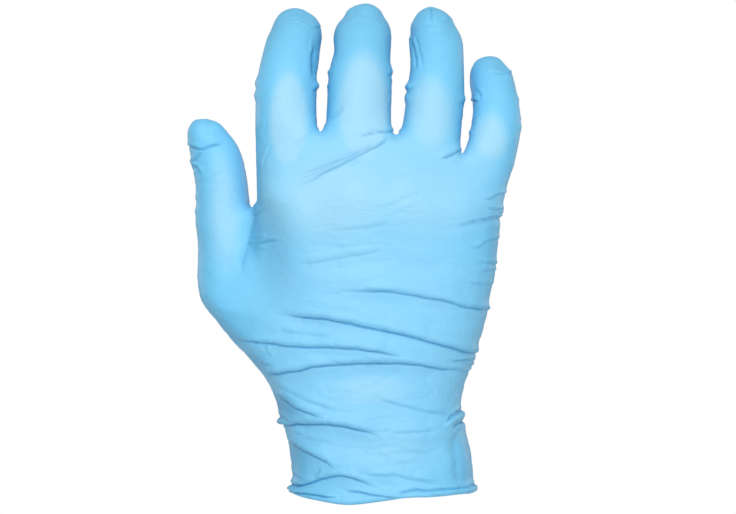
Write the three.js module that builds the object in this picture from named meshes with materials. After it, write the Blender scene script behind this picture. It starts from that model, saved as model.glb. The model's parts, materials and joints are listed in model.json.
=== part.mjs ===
// Disposable examination glove of thin nitrile film, in the form that it holds when it is worn on the
// right: fingers up and a little bent, back of the glove towards -Y, thumb towards -X.
// It is one dipped film with a rolled bead round its cuff, so it is one hollow solid, open at the wrist.
// Sizes are in millimetres and degrees. The origin is the middle of the cuff mouth, and +Z points
// from the cuff to the fingertips.

import * as THREE from 'three';

// The film and its rolled rim
const filmWall = 1.0;
const beadRadius = 1.25;
const beadSides = 6;

// Heights of the trunk: rim to the narrowest wrist, on to the thumb's web, on to the finger webs
const cuffRise = 33;
const palmRise = 66;
const knuckleRise = 30;

// Widths and depths of the trunk
const wristWidth = 66;
const wristDepth = 45;
const palmWidth = 88;
const palmDepth = 36;

// Free lengths of the thumb and of the middle finger from their webs to their tips, with their girths
const thumbLength = 38;
const thumbWidth = 19.6;
const thumbDepth = 19.5;
const fingerLength = 74;
const fingerWidth = 23.8;
const fingerDepth = 22.5;

// The thumb, and the fingers from its side outwards. bones are shares of the free length, joint by
// joint, and width and depth are shares of the girths. tilt turns each bone from upright towards the
// palm, and lean turns it sideways, towards the little finger where positive.
const thumb = { width: 1, depth: 1, bones: [0.475, 0.525], tilt: [9, 12], lean: [-5, -20] };
const fingers = [
  {
    name: 'index', width: 0.95, depth: 0.98,
    bones: [0.31, 0.338, 0.31], tilt: [19, 49, 66], lean: [-1, 8, 10],
  },
  {
    name: 'middle', width: 1, depth: 1,
    bones: [0.325, 0.365, 0.31], tilt: [19, 51, 66], lean: [2, 3, 6],
  },
  {
    name: 'ring', width: 0.908, depth: 0.935,
    bones: [0.325, 0.352, 0.31], tilt: [19, 46, 62], lean: [7, 3, -12],
  },
  {
    name: 'little', width: 0.773, depth: 0.8,
    bones: [0.243, 0.257, 0.257], tilt: [21, 46, 64], lean: [12, -5, -10],
  },
];

// Sections of the cuff, from the rim up. rise is a share of cuffRise, left and right of wristWidth,
// front and back of wristDepth.
const cuffSections = [
  { rise: 0.0, left: -0.505, web: -0.3, right: 0.51, front: -0.56, back: 0.56 },
  { rise: 0.18, left: -0.49, web: -0.3, right: 0.495, front: -0.545, back: 0.55 },
  { rise: 0.42, left: -0.51, web: -0.31, right: 0.48, front: -0.525, back: 0.53 },
  { rise: 0.64, left: -0.52, web: -0.32, right: 0.457, front: -0.505, back: 0.51 },
  { rise: 0.82, left: -0.555, web: -0.34, right: 0.436, front: -0.49, back: 0.5 },
];

// Sections of the palm, from the wrist to the thumb's web. rise is a share of palmRise, left, web and
// right of palmWidth, and the others of palmDepth. parted says how far the thumb stands off the palm.
const palmSections = [
  { rise: 0.0, left: -0.435, web: -0.25, right: 0.318, front: -0.6, back: 0.62,
    parted: 0, webFront: -0.5, webBack: 0.6, thumbFront: -0.4, thumbBack: 0.6 },
  { rise: 0.11, left: -0.47, web: -0.27, right: 0.333, front: -0.6, back: 0.64,
    parted: 0, webFront: -0.5, webBack: 0.65, thumbFront: -0.4, thumbBack: 0.65 },
  { rise: 0.22, left: -0.535, web: -0.31, right: 0.368, front: -0.59, back: 0.67,
    parted: 0.15, webFront: -0.45, webBack: 0.7, thumbFront: -0.35, thumbBack: 0.7 },
  { rise: 0.33, left: -0.613, web: -0.36, right: 0.396, front: -0.58, back: 0.68,
    parted: 0.35, webFront: -0.4, webBack: 0.75, thumbFront: -0.25, thumbBack: 0.72 },
  { rise: 0.44, left: -0.682, web: -0.41, right: 0.419, front: -0.565, back: 0.66,
    parted: 0.6, webFront: -0.33, webBack: 0.76, thumbFront: -0.17, thumbBack: 0.74 },
  { rise: 0.55, left: -0.75, web: -0.455, right: 0.435, front: -0.55, back: 0.62,
    parted: 0.8, webFront: -0.24, webBack: 0.74, thumbFront: -0.1, thumbBack: 0.75 },
  { rise: 0.67, left: -0.766, web: -0.485, right: 0.452, front: -0.53, back: 0.57,
    parted: 0.92, webFront: -0.14, webBack: 0.7, thumbFront: -0.03, thumbBack: 0.73 },
  { rise: 0.78, left: -0.763, web: -0.505, right: 0.465, front: -0.51, back: 0.53,
    parted: 1, webFront: -0.05, webBack: 0.64, thumbFront: 0.02, thumbBack: 0.7 },
  { rise: 0.89, left: -0.765, web: -0.523, right: 0.475, front: -0.495, back: 0.51,
    parted: 1, webFront: 0.04, webBack: 0.56, thumbFront: 0.06, thumbBack: 0.67 },
  { rise: 1.0, left: -0.775, web: -0.532, right: 0.484, front: -0.485, back: 0.5,
    parted: 1, webFront: 0.12, webBack: 0.46, thumbFront: 0.1, thumbBack: 0.65 },
];

// Sections over the knuckles, from the thumb's web to the finger webs. rise is a share of
// knuckleRise, left and right of palmWidth, front and back of palmDepth.
const knuckleSections = [
  { rise: 0.25, left: -0.52, right: 0.49, front: -0.46, back: 0.5 },
  { rise: 0.5, left: -0.52, right: 0.503, front: -0.4, back: 0.51 },
  { rise: 0.76, left: -0.524, right: 0.517, front: -0.32, back: 0.5 },
  { rise: 1.0, left: -0.528, right: 0.536, front: -0.23, back: 0.45 },
];

// Where the columns of points stand across the glove: the second of each pair of gaps ends at a web
const handColumns = [0, 0.125, 0.255, 0.4, 0.542, 0.67, 0.795, 0.885, 0.965];
const thumbColumns = [0.16, 0.52];
const edgeColumn = 0.05;
const handSquareness = 2.5;

// Heights of the webs against the row that they part, as shares of knuckleRise: the crest of the
// thumb's web, then the front, the crest and the back of each finger web.
const thumbWebLift = 0.25;
const fingerWebLifts = [
  { front: -0.08, crest: 0.02, back: -0.2 },
  { front: -0.13, crest: 0.0, back: -0.22 },
  { front: -0.36, crest: -0.24, back: -0.42 },
];

// The front of the rim hangs and waves a little. lift is a share of cuffRise, across of its half width.
const rimLine = [
  { across: -1.0, lift: 0.11 },
  { across: -0.66, lift: 0.035 },
  { across: -0.4, lift: 0.0 },
  { across: -0.1, lift: 0.025 },
  { across: 0.33, lift: 0.09 },
  { across: 0.48, lift: 0.08 },
  { across: 1.0, lift: 0.125 },
];
const rimBackLift = 0.07;

// Rings along a finger and along the thumb: bone counts the lengths, along is a share of that length,
// and girth is a share of the width and depth.
const fingerRings = [
  { bone: 0, along: 0.48, girth: 1.0 },
  { bone: 0, along: 0.98, girth: 1.0 },
  { bone: 1, along: 0.48, girth: 0.92 },
  { bone: 2, along: 0.0, girth: 0.91 },
  { bone: 2, along: 0.46, girth: 0.86 },
  { bone: 2, along: 0.82, girth: 0.64 },
  { bone: 2, along: 0.98, girth: 0.28 },
];
const thumbRings = [
  { bone: 0, along: 0.35, girth: 1.0 },
  { bone: 0, along: 0.9, girth: 0.98 },
  { bone: 1, along: 0.35, girth: 0.92 },
  { bone: 1, along: 0.74, girth: 0.7 },
  { bone: 1, along: 0.96, girth: 0.3 },
];

// Eight places round a finger, in the order of a ring: side is across, face is towards the back of
// the glove. The corners stand out a little further than on an ellipse.
const corner = 0.74;
const fingerPlaces = [
  { side: -corner, face: corner }, { side: 0, face: 1 }, { side: corner, face: corner },
  { side: 1, face: 0 },
  { side: corner, face: -corner }, { side: 0, face: -1 }, { side: -corner, face: -corner },
  { side: -1, face: 0 },
];

// Soft swells of the film. across is a share of palmWidth, rise of the whole trunk's
// height, reach of palmWidth, height of palmDepth. face is -1 on the back of the glove, 1 on the palm.
const swells = [
  { name: 'thumb_ball', face: 1, across: -0.34, rise: 0.5, reachX: 0.17, reachZ: 0.24, height: 0.14 },
  { name: 'little_finger_ball', face: 1, across: 0.24, rise: 0.5, reachX: 0.16, reachZ: 0.26, height: 0.1 },
  { name: 'palm_hollow', face: 1, across: -0.03, rise: 0.66, reachX: 0.15, reachZ: 0.2, height: -0.12 },
  { name: 'index_knuckle', face: -1, across: -0.4, rise: 0.83, reachX: 0.1, reachZ: 0.09, height: 0.045 },
  { name: 'middle_knuckle', face: -1, across: -0.12, rise: 0.85, reachX: 0.1, reachZ: 0.09, height: 0.05 },
  { name: 'ring_knuckle', face: -1, across: 0.13, rise: 0.83, reachX: 0.1, reachZ: 0.09, height: 0.035 },
  { name: 'little_knuckle', face: -1, across: 0.36, rise: 0.79, reachX: 0.09, reachZ: 0.08, height: 0.03 },
];

// The main folds of the slack film round the wrist, each an arc through three places. Places are
// shares of palmWidth and of the trunk's height. The film stands out by height above the line and
// sinks as much below it, over reach, both shares of palmDepth.
const folds = [
  { face: -1, from: [-0.42, 0.5], by: [-0.09, 0.48], to: [0.4, 0.39], height: 0.036, reach: 0.09 },
  { face: -1, from: [-0.55, 0.43], by: [-0.15, 0.41], to: [0.1, 0.38], height: 0.034, reach: 0.085 },
  { face: -1, from: [-0.48, 0.335], by: [-0.02, 0.37], to: [0.33, 0.35], height: 0.04, reach: 0.09 },
  { face: -1, from: [-0.2, 0.565], by: [0.1, 0.56], to: [0.42, 0.51], height: 0.022, reach: 0.085 },
  { face: -1, from: [-0.42, 0.29], by: [-0.37, 0.25], to: [-0.28, 0.22], height: 0.025, reach: 0.08 },
  { face: -1, from: [-0.41, 0.2], by: [-0.22, 0.2], to: [-0.02, 0.165], height: 0.032, reach: 0.09 },
  { face: -1, from: [-0.39, 0.16], by: [-0.31, 0.12], to: [-0.2, 0.08], height: 0.03, reach: 0.085 },
  { face: -1, from: [-0.36, 0.04], by: [-0.18, 0.06], to: [-0.05, 0.03], height: 0.03, reach: 0.08 },
  { face: -1, from: [0.05, 0.14], by: [0.2, 0.15], to: [0.34, 0.2], height: 0.022, reach: 0.09 },
  { face: 1, from: [-0.36, 0.36], by: [0.0, 0.32], to: [0.32, 0.36], height: 0.032, reach: 0.1 },
  { face: 1, from: [-0.38, 0.26], by: [0.0, 0.28], to: [0.3, 0.24], height: 0.03, reach: 0.09 },
  { face: 1, from: [-0.3, 0.18], by: [0.05, 0.15], to: [0.34, 0.18], height: 0.028, reach: 0.09 },
  { face: 1, from: [-0.3, 0.08], by: [0.0, 0.1], to: [0.3, 0.06], height: 0.024, reach: 0.08 },
  { face: 1, from: [-0.5, 0.82], by: [-0.25, 0.86], to: [-0.12, 0.88], height: 0.024, reach: 0.1 },
  { face: 1, from: [-0.2, 0.82], by: [0.1, 0.8], to: [0.42, 0.76], height: 0.024, reach: 0.1 },
];
const foldEaseOut = 0.18;

const swellPasses = 5;
const trunkRise = cuffRise + palmRise + knuckleRise;
const mix = THREE.MathUtils.lerp;

/** The cage of the outer skin: points and the polygons between them. */
const cage = { points: [], faces: [] };

function addPoint(x, y, z) {
  cage.points.push(new THREE.Vector3(x, y, z));
  return cage.points.length - 1;
}

/** A ring of points round the glove: front and back both run from the thumb's side outwards. */
class Ring {
  constructor(front, right, back, left) {
    Object.assign(this, { front, right, back, left });
  }

  loop() {
    return [...this.front, this.right, ...[...this.back].reverse(), this.left];
  }

  /** The ring round the columns from first to last, closed at its sides by two web points. */
  part(first, last, left, right) {
    return new Ring(this.front.slice(first, last + 1), right, this.back.slice(first, last + 1), left);
  }
}

/** Joins a lower loop to an upper one of as many points with quads that face out. */
function joinLoops(lower, upper) {
  lower.forEach((_, i) => {
    const next = (i + 1) % lower.length;
    cage.faces.push([lower[i], lower[next], upper[next], upper[i]]);
  });
}

/** Half the depth of a squared oval at a share of its width. */
function ovalShare(share, squareness) {
  return Math.max(0, 1 - Math.abs(2 * share - 1) ** squareness) ** (1 / squareness);
}

/** Depth coordinate of a squared oval from front to back, at a share of its width. */
function ovalDepth(front, back, share, squareness, face) {
  const middle = (front + back) / 2;
  return middle + (face * (back - front) * ovalShare(share, squareness)) / 2;
}

/** The lift of the rim's front at a share of its half width. */
function rimLift(across) {
  const after = Math.max(1, rimLine.findIndex((place) => place.across >= across));
  const [a, b] = [rimLine[after - 1], rimLine[after]];
  return cuffRise * mix(a.lift, b.lift, (across - a.across) / (b.across - a.across));
}

/** A ring of the trunk below the thumb's web, where one section holds the palm and the thumb. */
function trunkRing(s) {
  const y = (share, face) => ovalDepth(s.front, s.back, share, handSquareness, face);
  const whole = s.right - s.left;
  const thumbWide = s.web - s.left;
  const handWide = s.right - s.web;
  const sides = [-1, 1].map((face) => {
    const thumbPoints = thumbColumns.map((column) => {
      const x = s.left + column * thumbWide;
      const alone = ovalDepth(s.thumbFront, s.thumbBack, column, 2, face);
      return [x, mix(y((x - s.left) / whole, face), alone, s.parted)];
    });
    const handPoints = handColumns.map((column, i) => {
      const x = s.web + column * handWide;
      const alone = i === 0 ? (face < 0 ? s.webFront : s.webBack) : y(column, face);
      return [x, mix(y((x - s.left) / whole, face), alone, s.parted)];
    });
    return [...thumbPoints, ...handPoints];
  });
  const sideY = mix((s.front + s.back) / 2, (s.thumbFront + s.thumbBack) / 2, s.parted);
  const half = whole / 2;
  const height = (x, face) => {
    if (!s.rim) return s.z;
    return s.z + (face < 0 ? rimLift((x - s.left - half) / half) : rimBackLift * cuffRise);
  };
  const [front, back] = sides.map((points, i) =>
    points.map(([x, depth]) => addPoint(x, depth, height(x, i === 0 ? -1 : 1))));
  const right = addPoint(s.right, (s.front + s.back) / 2, height(s.right, -1));
  const left = addPoint(s.left, sideY, height(s.left, -1));
  return new Ring(front, right, back, left);
}

/** A ring of the palm above the thumb's web. It nears the line of the finger webs as it rises. */
function handRing(s) {
  const columns = handColumns.map((column) => Math.max(column, edgeColumn));
  const z = (column, face) => s.z + s.rise * webLift(column, face);
  const [front, back] = [-1, 1].map((face) =>
    columns.map((share, column) => addPoint(
      mix(s.left, s.right, share),
      ovalDepth(s.front, s.back, share, handSquareness, face),
      z(column, face))));
  const sideAt = (x, column) =>
    addPoint(x, (s.front + s.back) / 2, (z(column, -1) + z(column, 1)) / 2);
  return new Ring(front, sideAt(s.right, columns.length - 1), back, sideAt(s.left, 0));
}

/** Sizes a row of shares to millimetres. */
function sized(row, base, rise, width, depth) {
  const out = { rise: row.rise, z: base + row.rise * rise, parted: row.parted ?? 0 };
  out.rim = out.z === 0;
  for (const key of ['left', 'web', 'right']) out[key] = row[key] * width;
  for (const key of ['front', 'back', 'webFront', 'webBack', 'thumbFront', 'thumbBack'])
    out[key] = (row[key] ?? 0) * depth;
  return out;
}

/** Carries a root ring along a finger's line and closes it at the tip. */
function growFinger(root, finger, rings) {
  const curve = fingerPath(ringCentre(root), finger);
  let lower = root.loop();
  for (const { bone, along, girth } of rings) {
    const share = (1 + bone + along) / (1 + finger.bones.length);
    const centre = curve.getPoint(share);
    const ahead = curve.getTangent(share);
    const side = new THREE.Vector3(1, 0, 0).addScaledVector(ahead, -ahead.x).normalize();
    const face = new THREE.Vector3().crossVectors(side, ahead).normalize();
    const upper = fingerPlaces.map((place) => {
      const p = centre.clone()
        .addScaledVector(side, (place.side * finger.width * girth) / 2)
        .addScaledVector(face, (place.face * finger.depth * girth) / 2);
      return addPoint(p.x, p.y, p.z);
    });
    joinLoops(lower, upper);
    lower = upper;
  }
  const [a, b, c, d, e, f, g, h] = lower;
  cage.faces.push([a, b, f, g], [b, c, e, f], [c, d, e], [g, h, a]);
}

/** The middle of a ring: across between its sides, in depth and height between its faces. */
function ringCentre(ring) {
  const between = (a, b) => cage.points[a].clone().add(cage.points[b]).multiplyScalar(0.5);
  const column = Math.floor(ring.front.length / 2);
  const centre = between(ring.front[column], ring.back[column]);
  return centre.setX(between(ring.left, ring.right).x);
}

/** A step of a length that is tilted towards the palm and leant sideways. */
function step(length, tilt, lean) {
  const a = THREE.MathUtils.degToRad(tilt);
  const b = THREE.MathUtils.degToRad(lean);
  return new THREE.Vector3(
    length * Math.sin(b) * Math.cos(a), length * Math.sin(a), length * Math.cos(a) * Math.cos(b));
}

/** A row of the finger tables in millimetres. */
function sizedFinger(row, length, width, depth) {
  const bones = row.bones.map((share) => share * length);
  return { ...row, bones, width: row.width * width, depth: row.depth * depth };
}

/** The line through a finger's middle, which starts one bone below the web. */
function fingerPath(start, finger) {
  const bone = (i) => step(finger.bones[i], finger.tilt[i], finger.lean[i]);
  const path = [start.clone().sub(bone(0)), start];
  finger.bones.forEach((_, i) => path.push(path.at(-1).clone().add(bone(i))));
  return new THREE.CatmullRomCurve3(path);
}

/** A web's crest between the front and back points of a column. */
function webPoint(ring, column, lift) {
  const front = cage.points[ring.front[column]];
  const back = cage.points[ring.back[column]];
  const z = (front.z + back.z) / 2;
  return addPoint((front.x + back.x) / 2, (front.y + back.y) / 2, z + lift);
}

/** Builds the whole cage from the rim to the fingertips and returns the rim's loop. */
function buildCage() {
  const trunk = [
    ...cuffSections.map((row) => sized(row, 0, cuffRise, wristWidth, wristDepth)),
    ...palmSections.map((row) => sized(row, cuffRise, palmRise, palmWidth, palmDepth)),
  ].map(trunkRing);
  trunk.slice(1).forEach((ring, i) => joinLoops(trunk[i].loop(), ring.loop()));

  const top = trunk.at(-1);
  const thumbColumn = thumbColumns.length;
  const lifted = knuckleRise * thumbWebLift;
  const thumbWeb = webPoint(top, thumbColumn, lifted);
  const sizedThumb = sizedFinger(thumb, thumbLength, thumbWidth, thumbDepth);
  growFinger(top.part(0, thumbColumn, top.left, thumbWeb), sizedThumb, thumbRings);

  const knuckleBase = cuffRise + palmRise;
  let hand = top.part(thumbColumn, top.front.length - 1, thumbWeb, top.right);
  for (const row of knuckleSections) {
    const next = handRing(sized(row, knuckleBase, knuckleRise, palmWidth, palmDepth));
    joinLoops(hand.loop(), next.loop());
    hand = next;
  }
  const crests = fingerWebLifts.map((lift, i) =>
    webPoint(hand, 2 * (i + 1), (knuckleRise * (2 * lift.crest - lift.front - lift.back)) / 2));
  const webs = [hand.left, ...crests, hand.right];
  fingers.forEach((row, i) => {
    const finger = sizedFinger(row, fingerLength, fingerWidth, fingerDepth);
    growFinger(hand.part(2 * i, 2 * i + 2, webs[i], webs[i + 1]), finger, fingerRings);
  });
  return trunk[0].loop();
}

/** How far a column of the palm's last ring is lifted towards its web, even between the webs. */
function webLift(column, face) {
  const key = face < 0 ? 'front' : 'back';
  const at = (web) => fingerWebLifts[THREE.MathUtils.clamp(web, 0, fingerWebLifts.length - 1)][key];
  const web = column / 2 - 1;
  return knuckleRise * mix(at(Math.floor(web)), at(Math.ceil(web)), web - Math.floor(web));
}

/** One Catmull-Clark step over polygons, open at the rim. The old points keep their numbers. */
function subdivide({ points, faces }) {
  const edges = new Map();
  const edgeOf = (a, b) => {
    const key = a < b ? `${a}_${b}` : `${b}_${a}`;
    if (!edges.has(key)) edges.set(key, { ends: [a, b], faces: [] });
    return edges.get(key);
  };
  const middle = (list) => list.reduce((sum, p) => sum.add(p), new THREE.Vector3())
    .divideScalar(list.length);
  const facePoints = faces.map((face) => middle(face.map((i) => points[i])));
  const around = points.map(() => ({ faces: [], edges: new Set() }));
  faces.forEach((face, f) => face.forEach((a, i) => {
    const edge = edgeOf(a, face[(i + 1) % face.length]);
    edge.faces.push(f);
    around[a].faces.push(f);
    edge.ends.forEach((end) => around[end].edges.add(edge));
  }));
  for (const edge of edges.values()) {
    edge.middle = middle(edge.ends.map((i) => points[i]));
    edge.open = edge.faces.length === 1;
  }
  const moved = points.map((p, i) => {
    const open = [...around[i].edges].filter((edge) => edge.open);
    if (open.length) return middle([p, middle(open.map((edge) => edge.middle))]);
    const n = around[i].faces.length;
    const faceMean = middle(around[i].faces.map((f) => facePoints[f]));
    const edgeMean = middle([...around[i].edges].map((edge) => edge.middle));
    return faceMean.addScaledVector(edgeMean, 2).addScaledVector(p, n - 3).divideScalar(n);
  });
  const firstFace = moved.length;
  moved.push(...facePoints);
  for (const edge of edges.values()) {
    edge.point = moved.length;
    const crossed = edge.faces.map((f) => facePoints[f]);
    moved.push(edge.open ? edge.middle : middle([edge.middle, middle(crossed)]));
  }
  const quads = faces.flatMap((face, f) => face.map((a, i) => {
    const next = face[(i + 1) % face.length];
    const before = face[(i + face.length - 1) % face.length];
    return [a, edgeOf(a, next).point, firstFace + f, edgeOf(before, a).point];
  }));
  return { points: moved, faces: quads, edgeOf };
}

/** Swells the cage until its smoothed form passes through the places that the tables give. */
function fitThrough(rough) {
  const wanted = rough.points.map((p) => p.clone());
  for (let pass = 0; pass < swellPasses; pass++) {
    const smooth = subdivide(rough);
    rough.points.forEach((p, i) => p.add(wanted[i]).sub(smooth.points[i]));
  }
}

/** Outward normals at the points of a skin. */
function normalsOf({ points, faces }) {
  const normals = points.map(() => new THREE.Vector3());
  for (const [a, b, c, d] of faces) {
    const across = points[c].clone().sub(points[a]);
    const normal = across.cross(points[d].clone().sub(points[b]));
    [a, b, c, d].forEach((i) => normals[i].add(normal));
  }
  return normals.map((n) => n.normalize());
}

/** Signed height of a place above a fold's arc and the share of the arc where it lies. */
function foldPlace(fold, across, rise) {
  const [x0, z0] = fold.from;
  const [x2, z2] = fold.to;
  const along = (across - x0) / (x2 - x0);
  const share = (fold.by[0] - x0) / (x2 - x0);
  const bow = (fold.by[1] - mix(z0, z2, share)) / (share * (1 - share));
  const line = mix(z0, z2, along) + bow * along * (1 - along);
  return { along, above: (rise - line) * trunkRise };
}

/** How far the swells and folds push a point of the skin along its normal. */
function pushOut(point, normal) {
  const across = point.x / palmWidth;
  const rise = point.z / trunkRise;
  const facing = (face) => THREE.MathUtils.smoothstep(face * normal.y, -0.1, 0.6);
  let push = 0;
  for (const swell of swells) {
    const dx = (across - swell.across) / swell.reachX;
    const dz = (rise - swell.rise) / swell.reachZ;
    push += facing(swell.face) * swell.height * palmDepth * Math.exp(-dx * dx - dz * dz);
  }
  for (const fold of folds) {
    const { along, above } = foldPlace(fold, across, rise);
    const ease = THREE.MathUtils.smoothstep(Math.min(along, 1 - along), -foldEaseOut / 2, foldEaseOut);
    const reach = fold.reach * palmDepth;
    const tuck = (above / reach) * Math.exp(0.5 - 0.5 * (above / reach) ** 2);
    push += facing(fold.face) * ease * fold.height * palmDepth * tuck;
  }
  return push;
}

/** The rim's points of a skin, in the order of the cage's rim loop with the new points between. */
function refinedLoop(loop, edgeOf) {
  return loop.flatMap((a, i) => [a, edgeOf(a, loop[(i + 1) % loop.length]).point]);
}

/** Closes a skin to a film with an inner skin and a rolled bead under its rim. */
function filmGeometry(skin, rim) {
  const outward = normalsOf(skin);
  const points = [...skin.points];
  const innerOf = (i) => i + skin.points.length;
  points.push(...skin.points.map((p, i) => p.clone().addScaledVector(outward[i], -filmWall)));
  const quads = [...skin.faces, ...skin.faces.map((face) => face.map(innerOf).reverse())];

  let upper = rim;
  const down = new THREE.Vector3(0, 0, -1);
  for (let side = 0; side < beadSides; side++) {
    const turn = Math.PI * mix(0.3, 1.7, side / (beadSides - 1));
    const lower = rim.map((i) => {
      const out = outward[i].clone().setZ(0).normalize();
      const centre = points[i].clone().add(points[innerOf(i)]).multiplyScalar(0.5)
        .addScaledVector(down, beadRadius);
      points.push(centre.addScaledVector(out, beadRadius * Math.sin(turn))
        .addScaledVector(down, -beadRadius * Math.cos(turn)));
      return points.length - 1;
    });
    joinStrip(quads, upper, lower);
    upper = lower;
  }
  joinStrip(quads, upper, rim.map(innerOf));
  return toGeometry(points, quads);
}

/** Quads from an upper loop down to a lower one. */
function joinStrip(quads, upper, lower) {
  upper.forEach((_, i) => {
    const next = (i + 1) % upper.length;
    quads.push([lower[i], lower[next], upper[next], upper[i]]);
  });
}

/** Triangles from quads, each cut along its shorter diagonal. */
function toGeometry(points, quads) {
  const index = quads.flatMap(([a, b, c, d]) =>
    points[a].distanceTo(points[c]) <= points[b].distanceTo(points[d])
      ? [a, b, c, a, c, d]
      : [a, b, d, b, c, d]);
  const geometry = new THREE.BufferGeometry();
  const places = new Float32Array(points.flatMap((p) => [p.x, p.y, p.z]));
  geometry.setAttribute('position', new THREE.BufferAttribute(places, 3));
  geometry.setIndex(index);
  geometry.computeVertexNormals();
  return geometry;
}

/** The whole glove film as a named mesh. */
function makeFilm() {
  const rimLoop = buildCage();
  fitThrough(cage);
  const skin = subdivide(cage);
  const normals = normalsOf(skin);
  const pushes = skin.points.map((p, i) => pushOut(p, normals[i]));
  skin.points.forEach((p, i) => p.addScaledVector(normals[i], pushes[i]));
  const nitrile = new THREE.MeshStandardMaterial({ color: 0x8fd2f6, roughness: 0.5, metalness: 0 });
  const film = new THREE.Mesh(filmGeometry(skin, refinedLoop(rimLoop, skin.edgeOf)), nitrile);
  film.name = 'glove_film';
  return film;
}

const glove = new THREE.Group();
glove.name = 'exam_glove';
glove.add(makeFilm());

export default glove;
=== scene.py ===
"""Looks of a disposable nitrile exam glove in its worn form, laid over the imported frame.

The film is one piece. Its form comes from the frame; the rounding of the rolled bead, the folds of the
slack film, the wrinkles over the joints and the finish are made here. Tables of places and sizes are in
millimetres, in the frame's axes: X across the glove, Y from its back to its palm, Z up the fingers.
"""

import json
import logging
import math
from dataclasses import dataclass, field
from enum import Enum

import bpy
import numpy as np
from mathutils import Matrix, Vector, noise

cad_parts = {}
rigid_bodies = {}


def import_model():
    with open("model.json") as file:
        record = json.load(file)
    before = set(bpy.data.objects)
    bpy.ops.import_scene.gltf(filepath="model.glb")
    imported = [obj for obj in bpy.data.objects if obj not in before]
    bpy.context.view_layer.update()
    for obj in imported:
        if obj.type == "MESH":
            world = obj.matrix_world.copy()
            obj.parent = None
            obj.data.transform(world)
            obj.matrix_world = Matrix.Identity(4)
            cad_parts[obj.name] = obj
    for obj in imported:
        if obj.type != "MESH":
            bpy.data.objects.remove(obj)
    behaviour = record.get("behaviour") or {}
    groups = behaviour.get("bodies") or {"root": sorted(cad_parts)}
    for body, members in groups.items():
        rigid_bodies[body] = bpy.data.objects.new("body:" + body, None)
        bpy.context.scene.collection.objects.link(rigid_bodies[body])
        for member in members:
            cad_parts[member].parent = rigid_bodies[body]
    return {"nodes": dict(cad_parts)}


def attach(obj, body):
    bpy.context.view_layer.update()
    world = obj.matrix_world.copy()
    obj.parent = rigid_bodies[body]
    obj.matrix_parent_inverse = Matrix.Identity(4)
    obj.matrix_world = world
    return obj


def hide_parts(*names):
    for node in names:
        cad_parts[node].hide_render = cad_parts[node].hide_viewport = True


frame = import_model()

MM = 0.001

log = logging.getLogger("exam_glove")


class Face(Enum):
    """The side of the glove that a fold lies on, as the sign of Y there."""

    BACK = -1
    PALM = 1


# How far round the sides each side's folds reach, as a part of the way out along Y, and how softly
# they end there
FACE_EDGE = {Face.BACK: 0.55, Face.PALM: 0.25}
FACE_FADE = 0.6

# Half the width and half the depth of the cuff, which give the way out of the film near its rim
WRIST_HALVES = (33.0, 22.5)
RIM_TOP = 6.0
RIM_FADE = 3.0

# Every fold strays from its line by up to this much, and changes side this many times in a millimetre
STRAY = 0.3
STRAY_PACE = 0.22

# How far the wrinkles of a joint reach along the finger, and half the width of its crease
JOINT_REACH = 3.4
CREASE_HALF = 0.75

# Shares by which the film's unevenness is drawn out along X and Y, against Z
DRAWN_OUT = (0.35, 0.6, 1.0)
FINE_CREASE = 0.09

# Below this height the cuff hangs slack, and above it the film grows tighter over this length
SLACK_TOP = 60.0
SLACK_FADE = 50.0

# Beyond this way out along Y the film lies on the palm's side and keeps its coarser mesh, and its
# finest creases fade before that
PALM_EDGE = 0.35
PALM_FADE = 0.3

# No face beside a fold is wider than this, and lumps under this radius need a finer mesh
WIDEST_FACE = 2.0
SMALL_LUMP = 2.0

# A distance in millimetres that stands for places which aren't beside a fold
FAR = 999.0


class FoldForm(Enum):
    """Cross-sections of a fold."""

    TUCK = "tuck"
    CREST = "crest"
    CREASE = "crease"


def bell(offset: np.ndarray, centre: float, width: float) -> np.ndarray:
    """A smooth hump of height 1.

    Args:
        offset: Places across the hump.
        centre: Where the hump is highest.
        width: Distance from the centre at which it has sunk to a third.

    Returns:
        The hump's height at each place.
    """
    return np.exp(-(((offset - centre) / width) ** 2))


def ease(share: np.ndarray) -> np.ndarray:
    """Smooth step from 0 to 1 over shares from 0 to 1."""
    kept = np.clip(share, 0.0, 1.0)
    return kept * kept * (3.0 - 2.0 * kept)


def curve_through(points: tuple[tuple[float, float], ...], steps: int = 6) -> np.ndarray:
    """Rounds a short line of places to a smooth curve that runs through them.

    Args:
        points: Two or more places.
        steps: Pieces that each span is cut into.

    Returns:
        The places along the curve.
    """
    known = np.array(points, float)
    padded = np.vstack([2 * known[0] - known[1], known, 2 * known[-1] - known[-2]])
    share = np.linspace(0.0, 1.0, steps, endpoint=False)[:, None]
    spans = []
    for before, start, end, after in zip(padded, padded[1:], padded[2:], padded[3:]):
        bend = 2 * before - 5 * start + 4 * end - after
        twist = -before + 3 * start - 3 * end + after
        spans.append(start + 0.5 * share * ((end - before) + share * (bend + share * twist)))
    return np.vstack([*spans, known[-1:]])


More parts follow.
